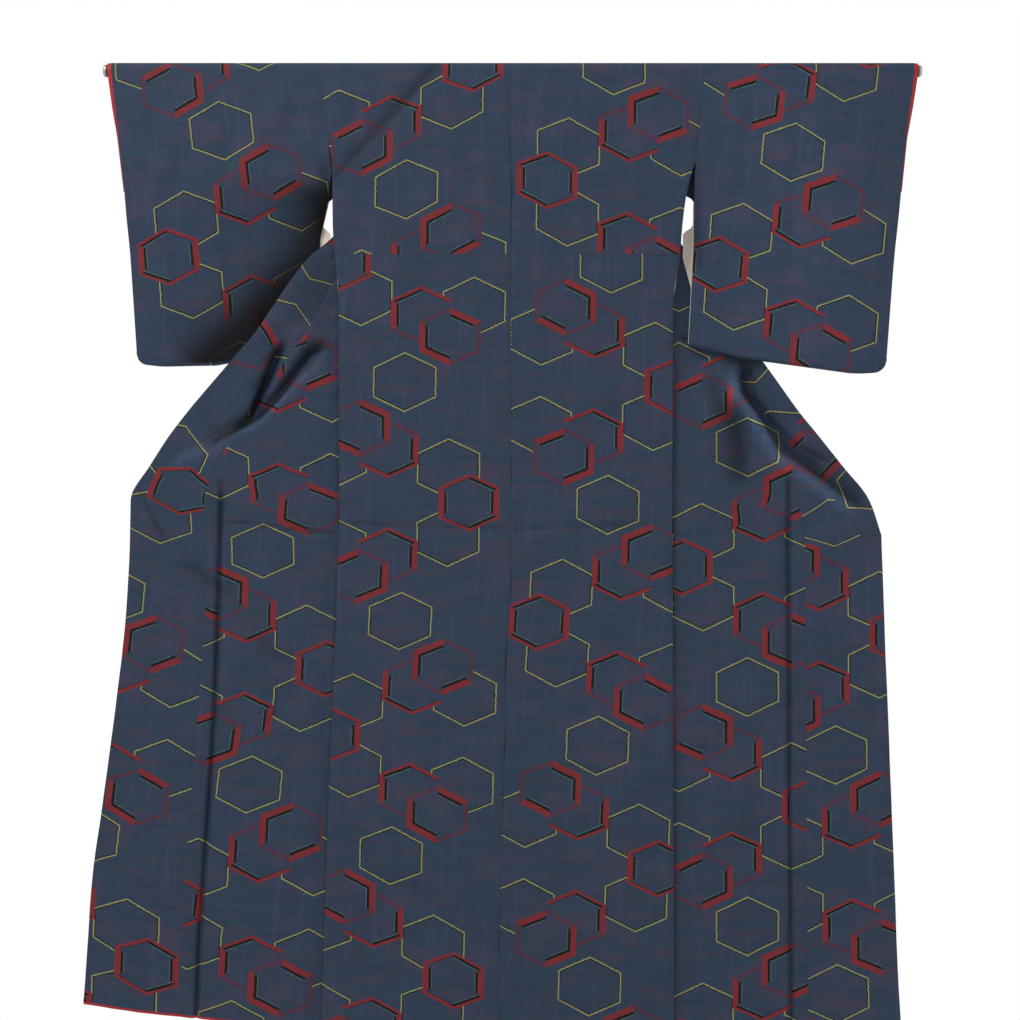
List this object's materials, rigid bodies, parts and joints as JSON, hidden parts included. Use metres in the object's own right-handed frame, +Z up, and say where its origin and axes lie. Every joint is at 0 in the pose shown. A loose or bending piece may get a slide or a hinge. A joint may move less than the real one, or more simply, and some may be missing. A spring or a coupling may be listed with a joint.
{
  "type": "kimono on a rod",
  "caption": "Lined kimono with hexagon kasuri pattern, hung by its shoulders over a thin rod, back outward, with both fronts drawn out flat to the sides.",
  "frame": {"origin": "on the axis of the rod that carries the garment, at the centre back seam", "axes": "+Z up, +X along the rod to the viewer's right, -Y towards the viewer, who sees the garment's back"},
  "size_m": [1.3493, 0.0415, 1.5698],
  "materials": {
    "kasuri_cloth": "slate-navy plain-weave silk with red, yellow, green and black hexagon kasuri, soft low sheen",
    "red_lining": "deep red plain silk lining edge",
    "rod_lacquer": "dark brown lacquered rod, satin gloss",
    "cap_steel": "pale metal end cap"
  },
  "bodies": {
    "root": {"back_left": "kasuri_cloth", "back_right": "kasuri_cloth", "front_left": "kasuri_cloth", "front_right": "kasuri_cloth", "overlap_left": "kasuri_cloth", "overlap_right": "kasuri_cloth", "collar": "kasuri_cloth", "sleeve_left": "kasuri_cloth", "sleeve_right": "kasuri_cloth", "mouth_edge_left": "red_lining", "mouth_edge_right": "red_lining", "hem_edge_back": "red_lining", "hem_edge_front_left": "red_lining", "hem_edge_front_right": "red_lining", "rod": "rod_lacquer", "rod_cap_left": "cap_steel", "rod_cap_right": "cap_steel"}
  },
  "joints": []
}
